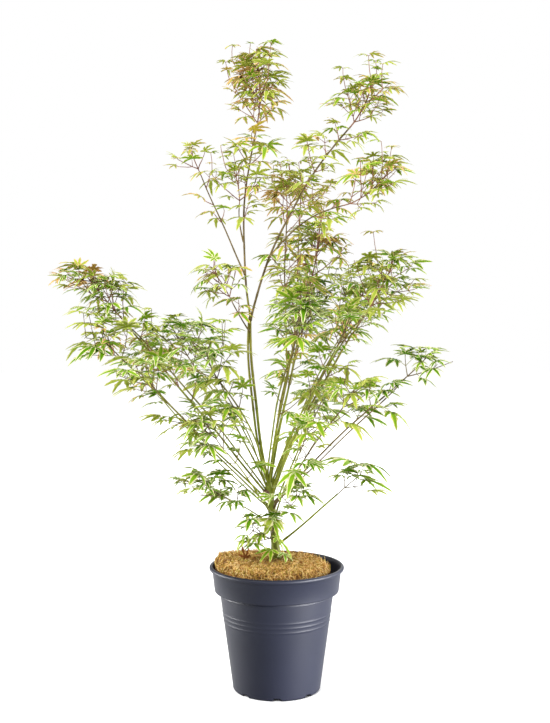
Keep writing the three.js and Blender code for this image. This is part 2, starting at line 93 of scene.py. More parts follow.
# Each mass of leaves and its bough, as in the solids: parent, share of the parent's length where
# it leaves it, middle and half sizes of its space, the degrees by which that space tilts its +X end
# up, bow and radius. With no radius it has no bough. Last comes the share of its leaves that grow.
MASSES = [
    ("top", "leader", 1, (-27, 20, 842), (44, 46, 63), 0, (-26, 0, 0), 1.5, 0.95),
    ("upper_right", "leader", 0.97, (122, 30, 828), (60, 42, 34), 30, (-34, 0, 19), 1.6, 0.85),
    ("upper_left", "top_bough", 0.22, (-112, -30, 739), (38, 40, 25), 0, (-4, 0, 6), 1.1, 0.58),
    ("side_left", "top_bough", 0.4, (-56, 0, 708), (46, 42, 34), 0, (-6, 0, 0), 1, 0.68),
    ("right_arch", "upper_right_bough", 0.3, (126, -45, 703), (56, 48, 37), 15, (-10, 0, 22), 1.2, 0.48),
    ("high_left", "leader", 0.9, (-78, -25, 574), (38, 42, 42), 0, (0, 0, -6), 1.1, 0.45),
    ("centre", "trunk", 0.96, (58, 70, 618), (44, 50, 52), 0, (-12, 0, 0), 1.8, 0.6),
    ("centre_high", "centre_bough", 0.55, (14, 32, 690), (48, 44, 30), 0, (-6, 0, 0), 1.2, 1),
    ("back_high", "centre_bough", 0.7, (36, 125, 700), (52, 50, 40), 0, (0, 10, -8), 1.2, 0.6),
    ("front", "trunk", 0.93, (26, -105, 514), (48, 54, 48), 0, (-8, 10, 0), 1.6, 0.58),
    ("back", "trunk", 0.9, (46, 178, 531), (60, 58, 66), 0, (-6, -16, 10), 1.7, 0.6),
    ("mid_left", "trunk", 0.88, (-88, -75, 470), (64, 50, 38), -10, (14, 8, 20), 1.4, 0.66),
    ("right_high", "trunk", 0.86, (152, 40, 576), (72, 58, 48), 22, (-10, 0, 12), 1.8, 0.85),
    ("back_left", "trunk", 0.83, (-142, 140, 480), (66, 60, 48), 0, (10, -10, 14), 1.5, 0.5),
    ("right_front", "trunk", 0.8, (90, -90, 514), (46, 48, 34), 25, (-6, 6, 10), 1.5, 0.42),
    ("far_left", "trunk", 0.78, (-240, -20, 556), (88, 44, 34), -27, (6, 0, -4), 1.6, 0.85),
    ("back_right", "trunk", 0.76, (122, 155, 538), (62, 56, 48), 0, (-8, -10, 12), 1.6, 0.52),
    ("left", "trunk", 0.72, (-226, -60, 488), (50, 48, 36), 20, (4, 4, -6), 1.4, 1),
    ("right_low", "trunk", 0.7, (192, -20, 456), (66, 44, 26), -1, (-4, 0, 8), 1.4, 0.85),
    ("left_low", "trunk", 0.66, (-172, -122, 450), (52, 46, 29), 12, (4, 4, -12), 1.3, 0.84),
    ("right_inner", "trunk", 0.62, (94, -108, 422), (50, 46, 28), 0, (-4, 6, 6), 1.3, 0.3),
    ("back_low", "trunk", 0.58, (66, 138, 392), (50, 50, 42), 0, (-4, -8, 8), 1.5, 0.32),
    ("low_left", "trunk", 0.54, (-84, -85, 372), (52, 46, 41), -5, (4, 4, 4), 1.2, 0.64),
    ("low_front", "trunk", 0.48, (37, -108, 370), (44, 46, 32), 5, (0, 8, 6), 1.3, 0.42),
    ("left_sprig", "trunk", 0.42, (-96, -30, 293), (48, 40, 26), -6, (0, 0, 4), 1.1, 0.85),
    ("right_sprig", "trunk", 0.16, (107, 0, 295), (52, 40, 25), -8, (0, 0, -2), 1.2, 0.6),
    ("fork", "trunk", 0.3, (24, -40, 276), (48, 40, 28), 0, None, None, 1),
    ("foot", "trunk", 0.24, (-26, -22, 226), (42, 38, 40), 0, None, None, 0.3),
]
BOUGH = Values(tip_share=0.7, entry=0.92, step=4, sides=12, relief=0.07)
# The height at which the crown starts, its depth, and how high in it tips, twigs and stalks turn young.
CROWN = Values(foot=300, depth=450, tips=0.6, twigs=0.55, stalks=0.4)
# The swelling where a bough leaves its parent, which two limbs don't have.
COLLAR = Values(swell=0.5, length=9)
NO_COLLAR = ("leader", "top_bough")
# How far a limb wanders, and the lengths of its waves along X and Y.
WANDER = Values(by=0.9, waves=(26, 31))
# The rings at the old nodes of a bough.
RINGS = Values(apart=48, rise=0.16, width=2.6)
SEEDS = Values(mass=101, mass_step=17, leaf=900, dry_leaf=77, fibres=41)
BARK_SEEDS = Values(trunk=5, stub=8, boughs=77, limb=60, companion=40)

# Thin stems that run beside a limb: how far off at their middle, and their share of its radius.
COMPANIONS = {
    "leader": (4.8, 0.85),
    "far_left_bough": (-6.5, 0.8),
    "left_low_bough": (5.5, 0.8),
    "back_left_bough": (-7, 0.75),
    "mid_left_bough": (6, 0.8),
    "front_bough": (5, 0.85),
    "centre_bough": (-5, 0.8),
    "right_high_bough": (6.5, 0.8),
    "right_low_bough": (-5.5, 0.8),
    "back_right_bough": (6, 0.75),
}

# The growth rule: opposite pairs of twigs that turn from node to node, carried one order further
# than in the solids, with a pair of leaves at each node and small young leaves at each tip.
STEM = Values(radius=1, tip_share=0.7, straight=0.45, far=0.5, node=21)
NODE = Values(offset=0.35, turn_spread=0.4, lean=0.95, lean_spread=0.25)
TWIG = Values(radii=(0.8, 0.45), shortest=9, longest=90, tip_room=0.25, node=19, piece=9)
# How far a twig bends to a side and sags, as shares of its length, and how its line shakes.
BEND = Values(side=0.08, sag=0.05, shake=0.35)
# How far a twig or a leaf leans along the twig that carries it.
AHEAD = 0.6
# The pairs along a twig: how far before the end of its stretch each stands, and how it turns.
PAIR = Values(before=0.4, turn=0.9, spread=0.3)
FINER = Values(share=0.5, reach=0.7, lift=0.45)
RAGGED = Values(least=0.62, spread=0.5)
# Short twigs on the outer part of a bough, which is bare further out the steeper it climbs, though
# less so high in the crown.
SHOOT = Values(bare=0.24, steep=0.35, ease=0.4, end=0.97, node=26, turn=0.5, shortest=14, spread=26)
SHOOT_SHARE = Values(low=0.4, high=0.85)
BARE = {"right_sprig": 0.85, "left_sprig": 0.6, "right_low": 0.6}
# Upright shoots on the upper twigs of a mass, with small leaves in pairs, and the shape of each. The
# flat masses have none.
PLUME = Values(share=0.42, shortest=16, longest=58, node=15, size=0.8, over=20)
SPRIG = Values(radii=(0.6, 0.4), lean=0.25, bend=2, turn=0.3, lift=0.35, taper=(1.15, 0.4))
FLAT = ("right_low", "right_sprig", "left_low", "left_sprig", "low_left", "low_front")
FLAT += ("high_left", "far_left", "upper_left", "fork", "foot")
LEAF = Values(low_length=30, high_length=25, spread=0.34, roll=0.25, foot_roll=0.1, slope=0.25, shine=0.03)
# How much larger the leaves of a mass are than its height gives.
SIZES = {"right_low": 1.1, "right_high": 1.1, "left": 1.1, "left_low": 1.1, "right_sprig": 1.1, "top": 1.1}
# Leaf shapes, from narrow lobes to broad ones, of which the lower crown has the broad half.
SHAPES = Values(count=16, narrow=0.9, broad=1.35)
# The lobes of a leaf from side to side, the small ones that some leaves have by the stalk, and how
# uneven leaves are.
LOBES = Values(angles=(-88, -45, 0, 45, 88), reaches=(0.6, 0.86, 1, 0.86, 0.6))
STALK_LOBES = Values(share=0.4, angle=128, reach=0.3)
UNEVEN = Values(width=0.15, angle=7, reach=0.12)
# The shape of a lobe: its half width, and that at its base and its tip, its fold along the midrib,
# sweep, twist and teeth, where its pale margin starts, and its droop.
LOBE = Values(rows=6, half=0.096, base=0.012, tip=0.0015, fold=0.32, sweep=0.22, twist=0.5)
TEETH = (1.32, 0.84)
MARGIN = Values(usual=0.86, by_width=0.13, uneven=0.1)
DROOP = Values(usual=0.4, leaf_spread=0.2, lobe_spread=0.15)
DIP = Values(low=0.1, high=0, young=-0.25, spread=0.15)
# The length, rise and arch of a stalk as shares of its leaf's length, its radii, and how far it goes
# on under the blade.
STALK = Values(length=0.42, young_length=0.2, rise=0.05, arch=0.03, radii=(0.5, 0.32), under=0.4)
# The young leaves at a tip: how far the pair opens and rises, its size, and those of the middle one.
TIP = Values(open=0.6, rise=0.2, size=0.85, middle_rise=0.3, middle_size=0.75)
TRIES = Values(count=7, turn=0.22, tip=0.05, shrink=0.03)
# Room round lobes and twigs, how far their neighbours are looked for, and how far tips may leave a space.
ROOM = Values(lobe=1.3, sibling=1.5, twig=0.3, search=45, leaf_tips=1.3, border=0.45)
PROBE = Values(step=2, far=200)
# Leaf tips keep to the reach of the solids.
REACH = Values(low=(-316, -180, 172), high=(245, 250, 923))

# Leaf colours: the middle of a leaf and its margin.
MIDDLES = {"deep": "#4c7408", "mid": "#688a18", "fresh": "#879634", "olive": "#9e9230", "tan": "#a68c4a"}
MARGINS = {"cream": "#bcb88c", "lime": "#aca85e", "rose": "#c0966a"}
# Pairs of middle and margin with their weights: in the low crown, at the tender tips of the high
# crown and of the low one, and in blushed sprays.
LOW = [("deep", "cream", 4), ("mid", "cream", 5), ("mid", "lime", 1), ("fresh", "cream", 1)]
HIGH = [("mid", "lime", 2), ("fresh", "lime", 5), ("fresh", "rose", 4), ("mid", "rose", 1)]
SHOOT_TIPS = [("fresh", "lime", 3), ("mid", "lime", 3), ("mid", "cream", 1)]
YOUNG = [("fresh", "rose", 4), ("mid", "rose", 2), ("olive", "rose", 2), ("fresh", "lime", 2)]
YOUNG += [("tan", "rose", 1)]
# The share of blushed sprays in a mass, and the share of leaves that keep their spray's colours.
BLUSH = {"centre_high": 0.5, "right_arch": 0.45, "centre": 0.3, "upper_right": 0.3, "top": 0.3}
BLUSH |= {"far_left": 0.3, "left": 0.35}
SPRAY = 0.8
FOOT_COLOURS = ("mid", "lime")

# Bark colours, dark, middle and light: the trunk with its fleck, its stub, boughs by height, twigs.
TRUNK_BARK = ("#383f0a", "#5b6514", "#7f862c", "#483018")
STUB_BARK = ("#2b1d14", "#483120", "#6a4f37")
BARKS = {
    "green": ("#3c400c", "#62690f", "#858a26"),
    "olive": ("#3b370d", "#5d5a12", "#7b7728"),
    "brown": ("#30260f", "#4c3f1c", "#685730"),
}
# The heights at which bark turns olive and brown, and how far a bough may stray from them.
BARK_TURNS = Values(olive=400, brown=520, stray=35)
BROWN_BOUGHS = ("right_low_bough", "right_inner_bough")
# How much stouter a bough is than in the solids.
STOUT_BOUGHS = {"right_sprig_bough": 1.35}
TWIG_BARKS = {
    "old": ("#362916", "#4f4023", "#675a33"),
    "young": ("#4e2c20", "#6b4231", "#825d3e"),
    "stalks": ("#5f6233", "#7d804a", "#979466"),
}
# Leaves at the foot of the trunk: root and hub of the stalk, heading and length.
FOOT_LEAVES = [
    ((-12, 11, 236), (-37, -14, 251), (-0.8, -0.3, -0.8), 21),
    ((-6, 9, 205), (-21, -18, 224), (-1, -0.4, -0.5), 25),
    ((-5, 8, 226), (-7, -14, 242), (0.5, -0.5, -0.8), 29),
    ((-2, 8, 212), (0, -8, 216), (0.9, -0.3, -0.8), 32),
    ((-2, 9, 190), (-8, -10, 200), (-0.6, -0.75, -0.3), 27),
    ((3, 10, 188), (9, 0, 192), (0.9, -0.4, -0.3), 25),
]
DRY_LEAF = Values(place=(-44, 8, 184), length=20, axes=((-0.3, 0, 1), (0.9, 0.3, 0.3), (0, -1, 0)))
# The floor in metres, a little below the pot.
FLOOR = Values(half=6, level=-0.0002)
# Lamps with what they light, place and target in metres, size and power.
LAMPS = [
    ("key", "all", (-1.2, -2.4, 2.4), (0, 0, 0.45), 1.4, 150),
    ("back", "all", (0.6, 2.4, 2.2), (0, 0, 0.5), 1.6, 70),
    ("right", "off_floor", (2, 0.2, 0.5), (0, 0, 0.2), 1.6, 100),
    ("left", "off_floor", (-2.3, 0.6, 0.6), (0, 0, 0.2), 1, 75),
    ("pot_right", "pot", (1, -0.6, 0.1), (0, 0, 0.08), 0.8, 285),
    ("pot_left", "pot", (-1.2, 0.2, 0.1), (0, 0, 0.08), 0.6, 80),
]


# Random numbers, curves and vectors


def random_from(seed):
    """The same seeded generator as the solids grow by."""
    state = seed & 0xFFFFFFFF

    def draw():
        nonlocal state
        state = (state + 0x6D2B79F5) & 0xFFFFFFFF
        mixed = ((state ^ (state >> 15)) * (state | 1)) & 0xFFFFFFFF
        mixed ^= (mixed + (((mixed ^ (mixed >> 7)) * (mixed | 61)) & 0xFFFFFFFF)) & 0xFFFFFFFF
        return ((mixed ^ (mixed >> 14)) & 0xFFFFFFFF) / 4294967296

    return draw


def unit(vector):
    return vector / np.linalg.norm(vector)


def turned(vector, axis, angle):
    """A vector turned about a unit axis."""
    c, s = math.cos(angle), math.sin(angle)
    return vector * c + np.cross(axis, vector) * s + axis * (axis @ vector) * (1 - c)


class Bow:
    """A quadratic curve through its start and end, drawn towards its middle point."""

    def __init__(self, start, middle, end):
        self.start, self.middle, self.end = (np.array(p, float) for p in (start, middle, end))

    def at(self, t):
        t = np.asarray(t, float)[..., None]
        return (1 - t) ** 2 * self.start + 2 * t * (1 - t) * self.middle + t**2 * self.end

    def tangent(self, t):
        return unit((1 - t) * (self.middle - self.start) + t * (self.end - self.middle))

    def length(self):
        steps = np.diff(self.at(np.linspace(0, 1, 17)), axis=0)
        return float(np.linalg.norm(steps, axis=1).sum())


def bowed(start, bow, end):
    start, end = np.array(start, float), np.array(end, float)
    return Bow(start, (start + end) / 2 + np.array(bow, float), end)


# Meshes


class Bag:
    """Gathers the vertices and faces of one joined piece."""

    def __init__(self):
        self.points, self.quads, self.tris, self.count = [], [], [], 0

    def add(self, points, quads=(), tris=()):
        self.quads.append(np.asarray(quads, int) + self.count)
        self.tris.append(np.asarray(tris, int) + self.count)
        self.points.append(np.asarray(points, float))
        self.count += len(points)


def mesh_piece(name, bag, material):
    """The joined mesh of a bag, as a piece that rides on the plant's one body."""
    faces = [face for group in (*bag.quads, *bag.tris) for face in group.tolist()]
    mesh = bpy.data.meshes.new(name)
    mesh.from_pydata((np.concatenate(bag.points) * MM).tolist(), [], faces)
    mesh.validate()
    mesh.shade_smooth()
    mesh.materials.append(material)
    piece = bpy.data.objects.new(name, mesh)
    bpy.context.scene.collection.objects.link(piece)
    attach(piece, "root")
    return piece


def grid(rows, turns):
    """A corner of each face between closed rows of points, and the corner beside it in its row."""
    row, k = np.meshgrid(np.arange(rows - 1), np.arange(turns), indexing="ij")
    return (row * turns + k).ravel(), (row * turns + (k + 1) % turns).ravel()


def ring_frames(points):
    """Two directions across a line of points that twist as little as they can along it."""
    ahead = np.gradient(points, axis=0)
    ahead /= np.linalg.norm(ahead, axis=1)[:, None]
    side = unit(np.cross(ahead[0], ACROSS if abs(ahead[0][2]) > 0.9 else UP))
    sides = []
    for direction in ahead:
        side = unit(side - direction * (side @ direction))
        sides.append(side)
    sides = np.array(sides)
    return sides, np.cross(ahead, sides)


def tube_skin(points, radii, sides, relief=None):
    """Rings of points round a line."""
    points = np.asarray(points, float)
    rings = len(points)
    across, other = ring_frames(points)
    turn = np.arange(sides) * 2 * math.pi / sides
    radius = np.broadcast_to(np.asarray(radii, float)[:, None], (rings, sides)).copy()
    if relief is not None:
        radius += relief(np.arange(rings)[:, None] / (rings - 1), turn[None, :])
    outward = across[:, None] * np.cos(turn)[None, :, None] + other[:, None] * np.sin(turn)[None, :, None]
    return points[:, None] + outward * radius[..., None]


def add_skin(bag, skin):
    """Adds rings of points as a tube that is closed at both ends."""
    rings, sides, _ = skin.shape
    a, b = grid(rings, sides)
    quads = np.stack([a, b, b + sides, a + sides], 1)
    ends = skin[[0, -1]].mean(axis=1)
    first, last, top = rings * sides, rings * sides + 1, (rings - 1) * sides
    caps = [(first, (j + 1) % sides, j) for j in range(sides)]
    caps += [(last, top + j, top + (j + 1) % sides) for j in range(sides)]
    bag.add(np.concatenate([skin.reshape(-1, 3), ends]), quads, caps)


def tube(bag, points, radii, sides, relief=None):
    add_skin(bag, tube_skin(points, radii, sides, relief))


def lathe(bag, profile, sides):
    """Adds a solid turned about the Z axis from rows of radius and height."""
    profile = np.asarray(profile, float)
    turn = np.arange(sides) * 2 * math.pi / sides
    x = profile[:, :1] * np.cos(turn)
    y = profile[:, :1] * np.sin(turn)
    z = np.broadcast_to(profile[:, 1:], x.shape)
    a, b = grid(len(profile), sides)
    bag.add(np.stack([x, y, z], -1).reshape(-1, 3), np.stack([a, b, b + sides, a + sides], 1))


# Limbs


def trunk_radius(share):
    flare = (GIRTH.foot - GIRTH.neck) * np.exp(-share / GIRTH.flare)
    return GIRTH.neck + (GIRTH.top - GIRTH.neck) * share + flare


def depth_in(row, points):
    """How far points lie from the middle of a mass, where 1 is the edge of its space."""
    return np.linalg.norm((np.asarray(points) - row.centre) @ row.turn / row.half, axis=-1)


def make_limbs(rows):
    """The centre line and the radius of the trunk, the leader and each bough, as in the solids."""
    trunk = bowed(TRUNK.foot, TRUNK.bow, TRUNK.top)
    limbs = {"trunk": Values(curve=trunk, radius=trunk_radius)}
    lead = bowed(trunk.at(1.0), LEADER.bow, LEADER.tip)
    first, last = LEADER.radii
    limbs["leader"] = Values(curve=lead, radius=lambda share: first + (last - first) * share)
    for row in rows:
        if row.radius:
            limbs[row.name + "_bough"] = make_bough(row, limbs[row.parent])
    return limbs


def make_bough(row, parent):
    start = parent.curve.at(row.at)
    end = row.centre + (start - row.centre) * BOUGH.entry / depth_in(row, start)
    radius = row.radius

    def radius_at(share):
        return radius * (1 + (BOUGH.tip_share - 1) * share)

    return Values(curve=bowed(start, row.bow, end), radius=radius_at)


# Clearance between pieces, kept as thick line segments


class Placed:
    """Every segment that is there, in arrays that grow by doubling."""

    def __init__(self):
        self.size = 0
        self.data = np.zeros((1024, 8))

    def add(self, starts, ends, radius, owner):
        count = len(starts)
        while self.size + count > len(self.data):
            self.data = np.concatenate([self.data, np.zeros_like(self.data)])
        block = self.data[self.size : self.size + count]
        block[:, 0:3], block[:, 3:6], block[:, 6], block[:, 7] = starts, ends, radius, owner
        self.size += count

    def touches(self, starts, ends, radius, owner, sibling):
        """True if a segment comes too near to another mass or limb, or to its own mass."""
        rows = self.data[: self.size]
        middle = (starts[0] + ends[-1]) / 2
        reach = np.linalg.norm(np.concatenate([starts, ends]) - middle, axis=1).max() + ROOM.search
        rows = rows[np.abs(rows[:, 0:3] - middle).max(axis=1) < reach]
        clear = np.where(rows[:, 7] == owner, sibling, radius + rows[:, 6])
        rows, clear = rows[clear > 0], clear[clear > 0]
        return bool((segment_gaps(starts, ends, rows[:, 0:3], rows[:, 3:6]) < clear).any())


def segment_gaps(a, b, starts, ends):
    """The shortest way from each of some segments to each of many others."""
    d1, d2, r = b - a, ends - starts, a[:, None] - starts[None]
    aa, e = (d1 * d1).sum(1)[:, None], np.maximum((d2 * d2).sum(1), 1e-9)[None]
    f, c, bb = (r * d2[None]).sum(2), (r * d1[:, None]).sum(2), d1 @ d2.T
    denominator = aa * e - bb * bb
    s = np.clip(np.where(denominator > 1e-9, (bb * f - c * e) / np.maximum(denominator, 1e-9), 0), 0, 1)
    t = np.clip((bb * s + f) / e, 0, 1)
    s = np.clip((bb * t - c) / aa, 0, 1)
    return np.linalg.norm(r + d1[:, None] * s[..., None] - d2[None] * t[..., None], axis=2)


# Leaves


class LeafTemplate:
    """One leaf of unit length along X with its face up, with five or seven uneven lobes."""

    def __init__(self, seed, width=1.0):
        self.random = random_from(seed)
        self.width = width * (1 + self.spread(UNEVEN.width))
        self.droop = DROOP.usual + self.spread(DROOP.leaf_spread)
        self.points, self.middles, self.margins, self.tips = [], [], [], []
        angles, reaches = LOBES.angles, LOBES.reaches
        if self.random() < STALK_LOBES.share:
            angle, reach = STALK_LOBES.angle, STALK_LOBES.reach
            angles, reaches = (-angle, *angles, angle), (reach, *reaches, reach)
        for angle, reach in zip(angles, reaches):
            bearing = math.radians(angle + self.spread(UNEVEN.angle))
            self.lobe(bearing, reach * (1 + self.spread(UNEVEN.reach)))
        self.points = np.concatenate(self.points)
        self.middles, self.margins = np.concatenate(self.middles), np.concatenate(self.margins)
        self.tips = np.array(self.tips)

    def spread(self, width):
        return (self.random() * 2 - 1) * width

    def lobe(self, angle, reach):
        """A lobe of five lines from the hub: two margins, two inner lines and the midrib."""
        rows = LOBE.rows
        s = np.linspace(0, 1, rows + 1)
        half = LOBE.half * self.width * (0.55 + 0.45 * reach) * np.sin(math.pi * s**0.8) ** 0.85
        half = half + LOBE.base * (1 - s)
        half[-1] = LOBE.tip
        teeth = np.where(np.arange(rows + 1) % 2, *TEETH)
        teeth[[0, -1]] = 1
        uneven = MARGIN.uneven * np.array([self.spread(1) for _ in s])
        inner = MARGIN.usual - MARGIN.by_width * self.width + uneven
        sweep, twist = self.spread(LOBE.sweep), self.spread(LOBE.twist)
        droop = self.droop + self.spread(DROOP.lobe_spread)
        lines = np.stack([-half * teeth, -half * inner, 0 * half, half * inner, half * teeth], 1)
        along = s[:, None] * reach + np.abs(lines) * np.array([0.5, 0, 0, 0, 0.5])
        across = lines + sweep * (s**2)[:, None] * reach
        height = np.abs(lines) * LOBE.fold + lines * (twist * s)[:, None] - droop * (along**2)
        x = along * math.cos(angle) - across * math.sin(angle)
        y = along * math.sin(angle) + across * math.cos(angle)
        base = 5 * (rows + 1) * len(self.tips) + np.arange(rows)[:, None] * 5

        def strip(column):
            a = (base + column).ravel()
            return np.stack([a, a + 5, a + 6, a + 1], 1)

        self.points.append(np.stack([x, y, height], -1).reshape(-1, 3))
        self.middles.append(np.concatenate([strip(1), strip(2)]))
        self.margins.append(np.concatenate([strip(0), strip(3)]))
        self.tips.append(self.points[-1][-3])


class Leaves:
    """The middles and margins of all leaves, each colour in its own bag."""

    def __init__(self):
        widths = np.linspace(SHAPES.narrow, SHAPES.broad, SHAPES.count)
        self.templates = [LeafTemplate(SEEDS.leaf + i, width) for i, width in enumerate(widths)]
        self.middles = {name: Bag() for name in MIDDLES}
        self.margins = {name: Bag() for name in MARGINS}
        self.count = 0

    def add(self, template, hub, axes, size, colours):
        points = template.points @ (axes * size) + hub
        self.middles[colours[0]].add(points, template.middles)
        self.margins[colours[1]].add(points, template.margins)
        self.count += 1


# The growth of one mass


def across_from(ahead):
    """A direction square to a heading, level where it can be."""
    return unit(np.cross(ACROSS if abs(ahead[2]) > 0.9 else UP, ahead))


class Mass:
    """One mass of leaves: its twigs and leaves grow inside its space, by its own random numbers."""

    def __init__(self, owner, plant):
        self.row, self.owner, self.plant = plant.rows[owner], owner, plant
        self.random = random_from(SEEDS.mass + SEEDS.mass_step * owner)
        self.high = float(np.clip((self.row.centre[2] - CROWN.foot) / CROWN.depth, 0, 1))
        self.leaf_length = self.by_height(LEAF.low_length, LEAF.high_length)
        self.leaf_length *= SIZES.get(self.row.name, 1)
        self.scale = self.leaf_length / LEAF.low_length
        self.bounded = True
        self.tender = HIGH if self.high > CROWN.tips else SHOOT_TIPS
        self.colours = self.pick()

    def by_height(self, low, high):
        return low + (high - low) * self.high

    def spread(self, width):
        return (self.random() * 2 - 1) * width

    def pick(self, pairs=None):
        """The colours of a leaf's middle and margin, by the height and the blush of the mass."""
        blushed = self.random() < BLUSH.get(self.row.name, 0)
        if pairs is None:
            pairs = YOUNG if blushed else self.tender if self.random() < self.high**1.2 else LOW
        left = self.random() * sum(weight for *_, weight in pairs)
        for middle, margin, weight in pairs:
            left -= weight
            if left <= 0:
                break
        return middle, margin

    def in_space(self, points):
        depths = self.plant.depths(points)
        own = depths[:, self.owner].copy()
        depths[:, self.owner] = np.inf
        share = np.minimum(own, 1) - ROOM.border
        return bool((own < ROOM.leaf_tips).all() and (depths > share[:, None]).all())

    def is_clear(self, points, radius):
        return not self.plant.placed.touches(points[:-1], points[1:], radius + ROOM.twig, self.owner, 0)

    def twig(self, curve, radii, skip=0, end=1.0):
        """A twig is kept only where it is clear of everything that is there."""
        count = max(3, round(curve.length() * end / TWIG.piece))
        points = curve.at(np.linspace(0, end, count + 1))
        if not self.is_clear(points[skip:], radii[0]):
            return False
        self.plant.placed.add(points[:-1], points[1:], radii[0], self.owner)
        shake = np.array([[self.spread(BEND.shake) for _ in range(3)] for _ in points])
        shake[0] = shake[-1] = 0
        bag = self.plant.twigs["young" if self.high > CROWN.twigs else "old"]
        tube(bag, points + shake, np.linspace(*radii, len(points)), 5)
        return True

    def any_template(self):
        half = SHAPES.count / 2
        return self.plant.leaves.templates[int((self.random() + 1 - self.high) * half)]

    def axes_of(self, flat, roll):
        """The axes of a leaf that points along a heading, rolled by up to an angle."""
        side = turned(across_from(flat), flat, self.spread(roll))
        return np.stack([flat, side, np.cross(flat, side)])

    def placed_leaf(self, root, hub, heading, length):
        """A leaf that is set where the photograph shows it."""
        axes = self.axes_of(unit(np.array(heading, float)), LEAF.foot_roll)
        self.blade(self.any_template(), np.array(root, float), np.array(hub, float), axes, length)

    def blade(self, template, root, hub, axes, length):
        """Adds a leaf with its stalk, and keeps its room."""
        tips = template.tips @ (axes * length) + hub
        self.plant.placed.add(np.repeat(hub[None], len(tips), 0), tips, ROOM.lobe, self.owner)
        colours = self.colours if self.random() < SPRAY else self.pick()
        self.plant.leaves.add(template, hub, axes, length, colours)
        middle = root + (hub - root) * 0.5 + UP * length * STALK.arch
        stalk = Bow(root, middle, hub + axes[0] * STALK.under)
        bag = self.plant.twigs["young" if self.high > CROWN.stalks else "stalks"]
        tube(bag, stalk.at(np.linspace(0, 1, 5)), np.linspace(*STALK.radii, 5), 3)

    def leaf(self, root, forward, length, young):
        """A stalk and a blade, kept only where the blade is in the space and clear."""
        template = self.any_template()
        forward = unit(forward)
        dip = self.by_height(DIP.low, DIP.high) + (DIP.young if young else 0)
        rise = forward[2] * LEAF.slope - dip + self.spread(DIP.spread)
        axes = self.axes_of(unit(np.array([forward[0], forward[1], rise])), LEAF.roll)
        stalk = STALK.young_length if young else STALK.length
        hub = root + forward * length * stalk + UP * length * STALK.rise
        tips = template.tips @ (axes * length) + hub
        if (tips < REACH.low).any() or (tips > REACH.high).any():
            return False
        if self.bounded and not self.in_space(tips):
            return False
        hubs = np.repeat(hub[None], len(tips), 0)
        if self.plant.placed.touches(hubs, tips, ROOM.lobe, self.owner, ROOM.sibling):
            return False
        self.blade(template, root, hub, axes, length)
        return True

    def leaf_near(self, root, forward, size=1.0, young=False):
        """Tries a leaf a few times, each time turned, tipped and shortened a little more."""
        if self.random() > self.row.leafy:
            return
        length = self.leaf_length * size * (1 + self.spread(LEAF.spread))
        for i in range(TRIES.count):
            aim = turned(unit(forward), UP, self.spread(TRIES.turn * (i + 1)))
            aim = aim + UP * self.spread(TRIES.tip * (i + 1))
            if self.leaf(root, aim, length * (1 - TRIES.shrink * i), young):
                return

    def room_from(self, point, direction):
        """How far it is along a direction to the edge of the mass's space."""
        steps = point + direction * np.arange(0, PROBE.far, PROBE.step)[:, None]
        outside = np.nonzero(depth_in(self.row, steps) >= 1)[0]
        return float(PROBE.step * outside[0] if len(outside) else PROBE.far)

    def side_twig(self, root, direction, order):
        """A twig with its leaves, or one leaf where there is no room for a twig."""
        direction = unit(direction + UP * FINER.lift)
        room = self.room_from(root, direction) - TWIG.tip_room * self.leaf_length
        share = RAGGED.least + RAGGED.spread * self.random() if order == 1 else FINER.reach
        reach = min(TWIG.longest / order, room * share)
        if reach < TWIG.shortest:
            self.leaf_near(root, direction)
            return
        curve = self.twig_curve(root, direction, reach)
        thick, thin = TWIG.radii
        if self.twig(curve, (thick / order**0.5, thin)):
            self.clothe(curve, order)

    def twig_curve(self, root, direction, reach):
        bow = (self.spread(BEND.side) * reach, self.spread(BEND.side) * reach, -BEND.sag * reach)
        return bowed(root, bow, root + direction * reach)

    def clothe(self, curve, order):
        """Leaves and finer twigs at the nodes of a twig, and young leaves at its tip."""
        self.colours = self.pick()
        nodes = max(1, round(curve.length() / (TWIG.node * self.scale)))
        for i in range(1, nodes + 1):
            at = (i - PAIR.before) / nodes
            ahead = curve.tangent(at)
            outward = turned(across_from(ahead), ahead, (i % 2) * PAIR.turn + self.spread(PAIR.spread))
            for way in (1, -1):
                direction = unit(ahead * AHEAD + outward * way)
                if order == 1 and i < nodes and self.random() < FINER.share:
                    self.side_twig(curve.at(at), direction, 2)
                else:
                    self.leaf_near(curve.at(at), direction)
        if order == 1 and self.random() < PLUME.share and self.has_plume(curve.at(1.0)):
            self.plume(curve)
        else:
            self.tip_leaves(curve)

    def has_plume(self, point):
        return point[2] > self.row.centre[2] and self.row.name not in FLAT

    def plume(self, twig):
        """An upright shoot with pairs of small leaves that ends at its last ones, where it is clear."""
        root = twig.at(1.0)
        rise = unit(np.array([self.spread(SPRIG.lean), self.spread(SPRIG.lean), 1]))
        longest = PLUME.longest * (0.5 + 0.5 * self.random())
        height = min(longest, self.room_from(root, rise) + PLUME.over)
        height = min(height, REACH.high[2] - root[2] - PLUME.over)
        bow = (self.spread(SPRIG.bend), self.spread(SPRIG.bend), 0)
        curve = bowed(root, bow, root + rise * height)
        if height < PLUME.shortest or not self.is_clear(curve.at(np.linspace(0, 1, 6)), SPRIG.radii[0]):
            self.tip_leaves(twig)
            return
        bounded, self.bounded = self.bounded, False
        self.colours = self.pick(self.tender)
        nodes, end = round(height / PLUME.node), 0
        largest, taper = SPRIG.taper
        for i in range(1, nodes + 1):
            turn = i * math.pi / 2 + self.spread(SPRIG.turn)
            outward = np.array([math.cos(turn), math.sin(turn), SPRIG.lift])
            size = PLUME.size * (largest - taper * i / nodes)
            grown = self.plant.leaves.count
            for way in (1, -1):
                self.leaf_near(curve.at(i / nodes), outward * [way, way, 1], size, True)
            if self.plant.leaves.count > grown:
                end = i / nodes
        self.bounded = bounded
        if end:
            self.twig(curve, SPRIG.radii, end=end)

